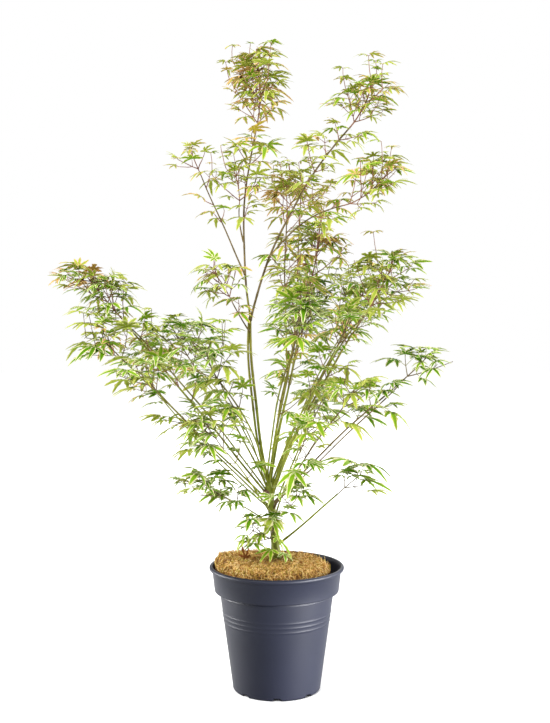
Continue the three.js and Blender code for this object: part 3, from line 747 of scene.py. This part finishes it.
    def tip_leaves(self, curve):
        """A pair of young leaves and one between them, at the end of a twig."""
        ahead, tip = curve.tangent(1.0), curve.at(1.0)
        level = across_from(ahead)
        for way in (1, -1):
            self.leaf_near(tip, ahead + level * way * TIP.open + UP * TIP.rise, TIP.size, True)
        self.leaf_near(tip, ahead + UP * TIP.middle_rise, TIP.middle_size, True)

    def stem_curve(self, root, heading):
        """The stem of the mass, straight on from its bough and then across its space."""
        across = self.row.centre - root
        far = self.row.centre + across * STEM.far / max(STEM.far, depth_in(self.row, root))
        bend = root + heading * STEM.straight * np.linalg.norm(far - root)
        return Bow(root, bend, far)

    def grow(self, root, heading, radius):
        """The stem with pairs of twigs that turn from node to node."""
        curve = self.stem_curve(root, heading)
        self.twig(curve, (radius, STEM.radius * STEM.tip_share), skip=1)
        nodes = max(2, round(curve.length() / (STEM.node * self.scale)))
        for i in range(1, nodes + 1):
            self.node(curve, (i - NODE.offset) / nodes, i * math.pi / 2)
        self.tip_leaves(curve)

    def node(self, curve, at, quarter_turns):
        ahead = curve.tangent(at)
        outward = turned(across_from(ahead), ahead, quarter_turns + self.spread(NODE.turn_spread))
        for way in (1, -1):
            lean = NODE.lean + self.spread(NODE.lean_spread)
            self.side_twig(curve.at(at), ahead * math.cos(lean) + outward * way * math.sin(lean), 1)

    def shoots(self, curve):
        """Short leafy twigs on the outer part of the bough, kept only where they are clear."""
        self.bounded = False
        run = unit(curve.end - curve.start)
        bare = SHOOT.bare + SHOOT.steep * max(0.0, run[2]) * (1 - SHOOT.ease * self.high)
        bare = max(bare, BARE.get(self.row.name, 0))
        share = self.by_height(SHOOT_SHARE.low, SHOOT_SHARE.high)
        nodes = int(curve.length() * (SHOOT.end - bare) / SHOOT.node)
        for i in range(nodes):
            at = bare + (SHOOT.end - bare) * (i + 0.5) / nodes
            ahead = curve.tangent(at)
            outward = turned(across_from(ahead), ahead, i * math.pi / 2 + self.spread(SHOOT.turn))
            for way in (1, -1):
                if self.random() < share:
                    direction = unit(ahead * AHEAD + outward * way + UP * FINER.lift)
                    reach = SHOOT.shortest + self.random() * SHOOT.spread
                    twig = self.twig_curve(curve.at(at), direction, reach)
                    if self.twig(twig, TWIG.radii, skip=1):
                        self.clothe(twig, 2)


class Plant:
    """All that grows: the limbs, and the twigs and leaves of every mass."""

    def __init__(self):
        self.rows = [self.row(values) for values in MASSES]
        self.centres, self.turns, self.halves = (
            np.array([getattr(row, key) for row in self.rows]) for key in ("centre", "turn", "half")
        )
        self.limbs = make_limbs(self.rows)
        self.placed = Placed()
        self.leaves = Leaves()
        self.twigs = {"old": Bag(), "young": Bag(), "stalks": Bag()}
        for limb in self.limbs.values():
            shares = np.linspace(0, 1, 13)
            points = limb.curve.at(shares)
            self.placed.add(points[:-1], points[1:], limb.radius(shares[:-1]), -1)
        masses = [Mass(owner, self) for owner in range(len(self.rows))]
        masses[-1].colours = FOOT_COLOURS
        for places in FOOT_LEAVES:
            masses[-1].placed_leaf(*places)
        for mass in masses:
            self.grow(mass)
        for mass in masses:
            if mass.row.radius:
                mass.shoots(self.limbs[mass.row.name + "_bough"].curve)

    @staticmethod
    def row(values):
        """A row of the masses by names, with the axes of its tilted space."""
        names = ("name", "parent", "at", "centre", "half", "tilt", "bow", "radius", "leafy")
        row = Values(**dict(zip(names, values)))
        c, s = math.cos(math.radians(row.tilt)), math.sin(math.radians(row.tilt))
        row.turn = np.array([[c, 0, -s], [0, 1, 0], [s, 0, c]])
        row.centre, row.half = np.array(row.centre, float), np.array(row.half, float)
        return row

    def depths(self, points):
        """How far points lie from the middle of every mass, a row for each point."""
        offsets = points[:, None] - self.centres[None]
        return np.linalg.norm(np.einsum("pmi,mij->pmj", offsets, self.turns) / self.halves, axis=2)

    def grow(self, mass):
        """A mass goes on from the tip of its bough, or straight from the trunk where it has none."""
        row = mass.row
        if row.radius:
            bough = self.limbs[row.name + "_bough"]
            mass.grow(bough.curve.at(1.0), bough.curve.tangent(1.0), float(bough.radius(1.0)))
            return
        root = self.limbs[row.parent].curve.at(row.at)
        mass.grow(root, unit(row.centre - root), STEM.radius)


# Materials


def srgb(code):
    """A colour given as a web code, in linear light."""
    parts = [int(code[i : i + 2], 16) / 255 for i in (1, 3, 5)]
    return tuple(p / 12.92 if p <= 0.04045 else ((p + 0.055) / 1.055) ** 2.4 for p in parts)


def material(name, colour, roughness, **sockets):
    made = bpy.data.materials.new(name)
    made.use_nodes = True
    shader = made.node_tree.nodes["Principled BSDF"]
    shader.inputs["Base Color"].default_value = (*srgb(colour), 1)
    shader.inputs["Roughness"].default_value = roughness
    for socket, value in sockets.items():
        shader.inputs[socket.replace("_", " ")].default_value = value
    return made


class Painter:
    """Adds nodes to a material, all of them in the object's own coordinates."""

    def __init__(self, made):
        self.nodes, self.links = made.node_tree.nodes, made.node_tree.links
        self.shader = self.nodes["Principled BSDF"]
        self.place = self.nodes.new("ShaderNodeTexCoord").outputs["Object"]

    def node(self, kind, **inputs):
        """A new node, each of its inputs linked to a socket or set to a value."""
        node = self.nodes.new("ShaderNode" + kind)
        for name, value in inputs.items():
            target = node.inputs[name.replace("_", " ")]
            if isinstance(value, bpy.types.NodeSocket):
                self.links.new(value, target)
            else:
                target.default_value = value
        return node

    def noise(self, scale, detail=4.0, stretch=(1, 1, 1)):
        place = self.node("Mapping", Vector=self.place, Scale=stretch).outputs["Vector"]
        return self.node("TexNoise", Vector=place, Scale=scale, Detail=detail).outputs["Fac"]

    def ramp(self, value, *stops):
        ramp = self.node("ValToRGB", Fac=value)
        points = ramp.color_ramp.elements
        while len(points) < len(stops):
            points.new(0.5)
        for point, (at, colour) in zip(points, stops):
            point.position = at
            point.color = (*srgb(colour), 1)
        return ramp.outputs["Color"]

    def mix(self, share, first, second):
        mix = self.node("Mix")
        mix.data_type = "RGBA"
        for name, socket in (("Factor", share), ("A", first), ("B", second)):
            self.links.new(socket, mix.inputs[name])
        return mix.outputs["Result"]

    def spread(self, value, low, high):
        return self.node("MapRange", Value=value, To_Min=low, To_Max=high).outputs["Result"]

    def colour(self, socket):
        self.links.new(socket, self.shader.inputs["Base Color"])

    def roughness(self, value, low, high):
        self.links.new(self.spread(value, low, high), self.shader.inputs["Roughness"])

    def bump(self, value, strength, distance):
        bump = self.node("Bump", Strength=strength, Distance=distance, Height=value)
        self.links.new(bump.outputs["Normal"], self.shader.inputs["Normal"])


def leaf_material(name, colour):
    made = material(name, colour, 0.55, Specular_IOR_Level=LEAF.shine)
    painter = Painter(made)
    painter.bump(painter.noise(900, 3), 0.25, 0.0003)
    return made


def bark_material(name, dark, base, light, fleck=None):
    """Bark in long streaks and broad blotches, with spots where it has a fleck colour."""
    made = material(name, base, 0.6, Specular_IOR_Level=0.25)
    painter = Painter(made)
    streaks = painter.noise(260, 6, (1, 1, 0.16))
    blotches = painter.noise(45, 3)
    fine = painter.ramp(streaks, (0.3, dark), (0.5, base), (0.72, light))
    broad = painter.ramp(blotches, (0.35, base), (0.65, light))
    skin = painter.mix(blotches, fine, broad)
    if fleck:
        spots = painter.spread(painter.noise(420, 2, (1, 1, 0.5)), -4.6, 3.6)
        skin = painter.mix(spots, skin, painter.ramp(streaks, (0.4, fleck), (0.6, fleck)))
    painter.colour(skin)
    painter.roughness(streaks, 0.75, 0.45)
    painter.bump(streaks, 0.5, 0.0006)
    return made


def pot_material():
    made = material("pot_plastic", "#090b15", 0.5, Specular_IOR_Level=0.12)
    painter = Painter(made)
    grain = painter.noise(1400, 2)
    cloud = painter.noise(9, 4)
    painter.colour(painter.ramp(cloud, (0.3, "#080a13"), (0.7, "#0b0d17")))
    painter.roughness(cloud, 0.46, 0.54)
    painter.bump(grain, 0.12, 0.0002)
    return made


def fibre_material(name, dark, light):
    made = material(name, dark, 0.85, Specular_IOR_Level=0.15)
    painter = Painter(made)
    painter.colour(painter.ramp(painter.noise(60, 4), (0.35, dark), (0.65, light)))
    painter.bump(painter.noise(1500, 2), 0.3, 0.0002)
    return made


def soil_material():
    made = material("soil_crumbs", "#1c1714", 0.95)
    painter = Painter(made)
    crumbs = painter.noise(320, 6)
    painter.colour(painter.ramp(crumbs, (0.35, "#14100e"), (0.6, "#2b211b"), (0.8, "#4a3b2e")))
    painter.bump(crumbs, 0.8, 0.001)
    return made


# The pot, its soil and its mat


def arc(centre, radius, start, end, count):
    """Rows of radius and height round a corner, from one bearing to another in degrees."""
    turn = np.radians(np.linspace(start, end, count))
    return [(centre[0] + radius * math.cos(t), centre[1] + radius * math.sin(t)) for t in turn]


def pot_profile():
    """Rows of radius and height, up the outside of the pot and down its inside."""
    base, foot, wall, hem, lip = POT.base, POT.round, POT.wall, BAND.round, LIP.round
    band_base, band_top = POT.height - BAND.height, POT.height - LIP.drop
    rows = [(0.0, 0.0), (base - 10, 0.0), *arc((base - foot, foot), foot, -90, 0, 6)]
    wall_foot, wall_top = rows[-1], (POT.wall_top, band_base - 3)
    slope = (wall_top[0] - wall_foot[0]) / (wall_top[1] - wall_foot[1])
    rib_rows = np.arange(RIBS.heights[0] - 5, RIBS.heights[-1] + 5, 0.7)
    for height in (*WALL_ROWS.below, *rib_rows, *WALL_ROWS.above):
        rib = sum(math.exp(-(((height - at) / RIBS.width) ** 2)) for at in RIBS.heights)
        rows.append((wall_foot[0] + slope * (height - wall_foot[1]) + rib * RIBS.rise, height))
    groove = wall_top[0] - BAND.groove
    rows += [(wall_top[0], wall_top[1] - 0.4), (groove, wall_top[1]), (groove, band_base)]
    rows += [(BAND.foot - 3, band_base), *arc((BAND.foot - hem, band_base + hem), hem, -90, 0, 5)]
    rows += [(BAND.top, band_top - 1), *arc((LIP.radius - lip, POT.height - lip), lip, -90, 150, 16)]
    rows += [(BAND.top - wall, band_top), (BAND.foot - wall, band_base + hem)]
    return rows + [(groove - wall, band_base + 1), (base - wall, POT.floor), (0.0, POT.floor)]


def notched(points):
    """Raises the edge of the base where it is cut away to let water out."""
    x, y, z = points.T
    bearing = np.degrees(np.arctan2(y, x))
    step = 360 / NOTCH.count
    off = np.abs((bearing + step / 2) % step - step / 2) * math.pi / 180 * POT.base
    outer = np.hypot(x, y) > POT.base - NOTCH.depth
    points[(off < NOTCH.width / 2) & outer & (z < NOTCH.height), 2] = NOTCH.height
    return points


def make_pot():
    bag = Bag()
    lathe(bag, pot_profile(), 192)
    bag.points[0] = notched(bag.points[0])
    piece = mesh_piece("pot_shell", bag, pot_material())
    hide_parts("pot")


def mat_height(x, y):
    """The mat's upper side: level round the trunk, sloping and waving to its edge, with a mound."""
    east, north = MOUND.place
    mound = MOUND.rise * np.exp(-((x - east) ** 2 + (y - north) ** 2) / (2 * MOUND.width**2))
    x = x - MAT.centre
    out = np.hypot(x, y)
    radius = MAT.radius
    steps = [0, MAT.crown_radius, radius * 0.66, radius * 0.92, radius]
    heights = [MAT.crown, MAT.crown, (MAT.crown + MAT.shoulder) / 2, MAT.shoulder, MAT.edge]
    share = np.clip((out - MAT.crown_radius) / (radius - MAT.crown_radius), 0, 1)
    wave = MAT.wave * np.sin(5 * x / radius + 1) * np.cos(4 * y / radius)
    fade = np.clip(out / 20, 0, 1)
    lumps = MAT.lump * np.sin(x * 0.31 + y * 0.17) * np.sin(y * 0.37 - x * 0.11) * fade
    return np.interp(out, steps, heights) + share * (wave + mound - MOUND.tilt * x) + lumps


def disc(turns, rings):
    """The rings of a disc of unit radius, as shares of its radius and bearings."""
    return np.linspace(0.01, 1, rings)[:, None], np.arange(turns)[None, :] * 2 * math.pi / turns


def cushion(x, y, z, foot, share=1.0, closed=False):
    """A bag with a lid of rings, from the middle outwards, and a skirt from its edge to its foot."""
    turns = x.shape[1]
    top = np.stack([x, y, z], -1).reshape(-1, 3)
    skirt = top[-turns:] * [share, share, 0] + [0, 0, foot]
    a, b = grid(len(x) + 1, turns)
    caps = [(0, (j + 1) % turns, j) for j in range(1, turns - 1)]
    if closed:
        caps += [(len(top), len(top) + j, len(top) + j + 1) for j in range(1, turns - 1)]
    bag = Bag()
    bag.add(np.concatenate([top, skirt]), np.stack([a, a + turns, b + turns, b], 1), caps)
    return bag


def mat_base():
    """The body of the mat, under its loose fibres."""
    share, turn = disc(128, 44)
    out = share * MAT.radius
    edge = 1 + 0.012 * np.sin(7 * turn) + 0.01 * np.sin(17 * turn + 1)
    x, y = MAT.centre + out * np.cos(turn) * edge, out * np.sin(turn) * edge
    return cushion(x, y, mat_height(x, y), SOIL.top + 0.3)


def fibre_line(random):
    """One short curled fibre that lies on the mat, with its loose end a little higher."""
    turn, out = 2 * math.pi * random(), MAT.radius * math.sqrt(random())
    steps = np.linspace(0, 1, FIBRE.rows)
    bearing = 2 * math.pi * random() + (random() * 2 - 1) * FIBRE.curl * steps
    length = FIBRE.shortest + FIBRE.spread * random()
    x = out * math.cos(turn) + np.cumsum(np.cos(bearing)) * length / FIBRE.rows
    y = out * math.sin(turn) + np.cumsum(np.sin(bearing)) * length / FIBRE.rows
    inward = np.minimum(1, (MAT.radius + 0.5) / np.hypot(x, y))
    x, y = MAT.centre + x * inward, y * inward
    stand = FIBRE.stand + FIBRE.edge_stand * (out / MAT.radius) ** 6
    lift = 0.2 + 1.8 * random() * np.sin(math.pi * steps) + stand * random() ** 3 * steps
    return np.column_stack([x, y, mat_height(x, y) + lift])


def make_mat():
    # The body's darker brown is partly the coir's own colour and partly painted shade for the gaps between
    # the loose fibres.
    body = mesh_piece("mat_body", mat_base(), fibre_material("mat_dark", "#3c260f", "#6b4a20"))
    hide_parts("fibre_mat")
    names = ["gold", "gold", "straw", "brown", "brown", "moss"]
    bags, random = {name: Bag() for name in FIBRE_SHADES}, random_from(SEEDS.fibres)
    for _ in range(FIBRE.count):
        line = fibre_line(random)
        radii = np.linspace(*FIBRE.radii, FIBRE.rows)
        tube(bags[names[int(random() * len(names))]], line, radii, 3)
    for name, bag in bags.items():
        look = fibre_material(f"fibre_{name}", *FIBRE_SHADES[name])
        piece = mesh_piece(f"mat_fibres_{name}", bag, look)
        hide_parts("fibre_mat")


def make_soil():
    """Crumbly soil that shows between the mat and the pot."""
    share, turn = disc(160, 40)
    radius = SOIL.radius * share
    x, y = radius * np.cos(turn), radius * np.sin(turn)
    crumbs = np.sin(x * 0.9 + 2 * np.sin(y * 0.7)) * np.sin(y * 1.1 + 2 * np.sin(x * 0.5))
    rim = np.clip((radius - SOIL.even) / SOIL.fade, 0, 1)
    z = SOIL.top - 1 + SOIL.crumb * crumbs * rim
    bag = cushion(x, y, z, SOIL.foot, SOIL.foot_share, True)
    piece = mesh_piece("soil_surface", bag, soil_material())
    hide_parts("soil")


# The trunk and the boughs


def limb_relief(depth, seed):
    """Bark relief: long low ridges and a fine roughness, as a change of radius."""
    draw = random_from(seed)
    phases = [2 * math.pi * draw() for _ in range(4)]

    def relief(share, turn):
        ridges = np.sin(3 * turn + phases[0] + 4 * share) * 0.5
        ridges = ridges + np.sin(5 * turn + phases[1] - 7 * share) * 0.3
        rough = np.sin(7 * turn + phases[2] + 60 * share) * np.sin(45 * share + phases[3]) * 0.35
        return depth * (ridges + rough)

    return relief


def limb_lines(limb, seed, collar):
    """A limb's centre line with a slight wander, and its radius with rings at its old nodes."""
    curve, draw = limb.curve, random_from(seed)
    length = curve.length()
    share = np.linspace(0, 1, max(12, int(length / BOUGH.step)) + 1)
    along = share * length
    phase = [2 * math.pi * draw() for _ in range(3)]
    x, y = (np.sin(along / wave + start) for wave, start in zip(WANDER.waves, phase))
    stray = np.sin(math.pi * share)[:, None] * np.stack([x, y, 0 * share], 1)
    points = curve.at(share) + stray * WANDER.by
    past_node = (along + 20 * phase[2]) % RINGS.apart
    ring = RINGS.rise * np.exp(-(((past_node - RINGS.apart / 2) / RINGS.width) ** 2))
    radius = limb.radius(share) * (1 + ring)
    return points, radius * (1 + collar * np.exp(-along / COLLAR.length))


def make_trunk(plant):
    """The trunk's bark, and the stub that is left where a limb was cut off."""
    limb = plant.limbs["trunk"]
    share = np.linspace(0, 1, 61)
    radius = limb.radius(share) * (1 + 0.05 * np.sin(share * 23))
    bag, stub = Bag(), Bag()
    tube(bag, limb.curve.at(share), radius, 28, limb_relief(GIRTH.relief, BARK_SEEDS.trunk))
    piece = mesh_piece("trunk_bark", bag, bark_material("bark_trunk", *TRUNK_BARK))
    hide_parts("trunk")
    root = limb.curve.at(STUB.at)
    tip = root + unit(np.array(STUB.towards)) * STUB.length
    line = bowed(root, (0, 0, 0), tip).at(np.linspace(0, 1, 9))
    girth = STUB.radius * np.array([1.3, 1.2, 1.1, 1.05, 1, 1, 1.04, 1.02, 0.8])
    tube(stub, line, girth, 16, limb_relief(STUB.relief, BARK_SEEDS.stub))
    piece = mesh_piece("pruned_stub", stub, bark_material("bark_stub", *STUB_BARK))
    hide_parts("trunk")


def bark_kind(name, height):
    if name in BROWN_BOUGHS or height > BARK_TURNS.brown:
        return "brown"
    return "green" if height < BARK_TURNS.olive else "olive"


def add_bough(bags, name, points, radius, jitter, seed):
    """One limb's skin, cut into runs of one colour by height."""
    skin = tube_skin(points, radius, BOUGH.sides, limb_relief(BOUGH.relief, seed))
    kinds = [bark_kind(name, z + jitter) for z in points[:, 2]]
    start, last = 0, len(kinds) - 1
    for i in range(1, last + 1):
        if kinds[i] != kinds[start] or i == last:
            add_skin(bags[kinds[start]], skin[start : i + 1])
            start = i


def make_boughs(plant):
    """The skins of all boughs and of the thin stems beside them."""
    bags, random = {name: Bag() for name in BARKS}, random_from(BARK_SEEDS.boughs)
    for seed, (name, limb) in enumerate(plant.limbs.items()):
        if name == "trunk":
            continue
        collar = 0.0 if name in NO_COLLAR else COLLAR.swell
        points, radius = limb_lines(limb, BARK_SEEDS.limb + seed, collar)
        radius = radius * STOUT_BOUGHS.get(name, 1)
        jitter = (random() * 2 - 1) * BARK_TURNS.stray
        add_bough(bags, name, points, radius, jitter, seed)
        if name in COMPANIONS:
            off, share = COMPANIONS[name]
            side = unit(np.cross(points[-1] - points[0], (0, 1, 0))) * off
            swell = np.sin(math.pi * np.linspace(0, 1, len(points))) ** 0.4
            points = points + swell[:, None] * side
            add_bough(bags, name, points, radius * share, -jitter, seed + BARK_SEEDS.companion)
    names = [name for name in plant.limbs if name != "trunk"]
    for name, bag in bags.items():
        piece = mesh_piece(f"bough_bark_{name}", bag, bark_material(f"bark_{name}", *BARKS[name]))
        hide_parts(*names)


def make_foliage(plant):
    nodes = [row.name + "_leaves" for row in plant.rows]
    for name, bag in plant.twigs.items():
        piece = mesh_piece(f"twigs_{name}", bag, bark_material(f"twig_{name}", *TWIG_BARKS[name]))
        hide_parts(*nodes)
    for name, bag in plant.leaves.middles.items():
        look = leaf_material(f"leaf_{name}", MIDDLES[name])
        piece = mesh_piece(f"leaves_{name}", bag, look)
        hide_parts(*nodes)
    for name, bag in plant.leaves.margins.items():
        look = leaf_material(f"leaf_margin_{name}", MARGINS[name])
        piece = mesh_piece(f"leaf_margins_{name}", bag, look)
        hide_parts(*nodes)


def make_dry_leaf():
    """One dead leaf that stands curled in the mat."""
    template, bag = LeafTemplate(SEEDS.dry_leaf), Bag()
    axes = np.stack([unit(np.array(row)) for row in DRY_LEAF.axes])
    points = template.points * [1, 0.7, 2.2]
    faces = np.concatenate([template.middles, template.margins])
    bag.add(points @ (axes * DRY_LEAF.length) + DRY_LEAF.place, faces)
    piece = mesh_piece("dry_leaf", bag, leaf_material("leaf_dry", "#6a3f1e"))
    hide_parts("fibre_mat")


# The floor, the light and the camera


def make_stage():
    half, level = FLOOR.half, FLOOR.level
    mesh = bpy.data.meshes.new("floor")
    corners = [(-half, -half, level), (half, -half, level), (half, half, level), (-half, half, level)]
    mesh.from_pydata(corners, [], [(0, 1, 2, 3)])
    floor = bpy.data.objects.new("floor", mesh)
    bpy.context.scene.collection.objects.link(floor)
    mesh.materials.append(material("floor_white", "#ffffff", 0.9))


def lit_by(name, thing, state):
    """What a lamp lights: one thing only, or all but it."""
    group = bpy.data.collections.new(name)
    group.objects.link(bpy.data.objects[thing])
    group.collection_objects[0].light_linking.link_state = state
    return group


def make_light():
    world = bpy.data.worlds.new("studio")
    bpy.context.scene.world = world
    world.use_nodes = True
    sky = world.node_tree.nodes["Background"]
    sky.inputs["Color"].default_value = (1, 1, 1, 1)
    sky.inputs["Strength"].default_value = 1.0
    groups = {
        "all": None,
        "off_floor": lit_by("all_but_floor", "floor", "EXCLUDE"),
        "pot": lit_by("pot_only", "pot_shell", "INCLUDE"),
    }
    for name, group, place, target, size, power in LAMPS:
        light = bpy.data.lights.new(name, "AREA")
        light.size, light.energy = size, power
        lamp = bpy.data.objects.new(name, light)
        bpy.context.scene.collection.objects.link(lamp)
        lamp.location = place
        lamp.rotation_euler = (Vector(target) - Vector(place)).to_track_quat("-Z", "Y").to_euler()
        lamp.light_linking.receiver_collection = groups[group]
    bpy.context.scene.view_settings.view_transform = "Standard"


def make_camera():
    camera = bpy.data.cameras.new("camera")
    camera.sensor_width = CAMERA.sensor
    camera.lens = CAMERA.sensor * CAMERA.focal
    eye = bpy.data.objects.new("camera", camera)
    bpy.context.scene.collection.objects.link(eye)
    eye.location = [p * MM for p in CAMERA.place]
    eye.rotation_euler = (math.radians(90 - CAMERA.pitch), 0, 0)
    bpy.context.scene.camera = eye


make_camera()
make_stage()
make_pot()
make_light()
make_soil()
make_mat()
plant = Plant()
make_trunk(plant)
make_boughs(plant)
make_foliage(plant)
make_dry_leaf()
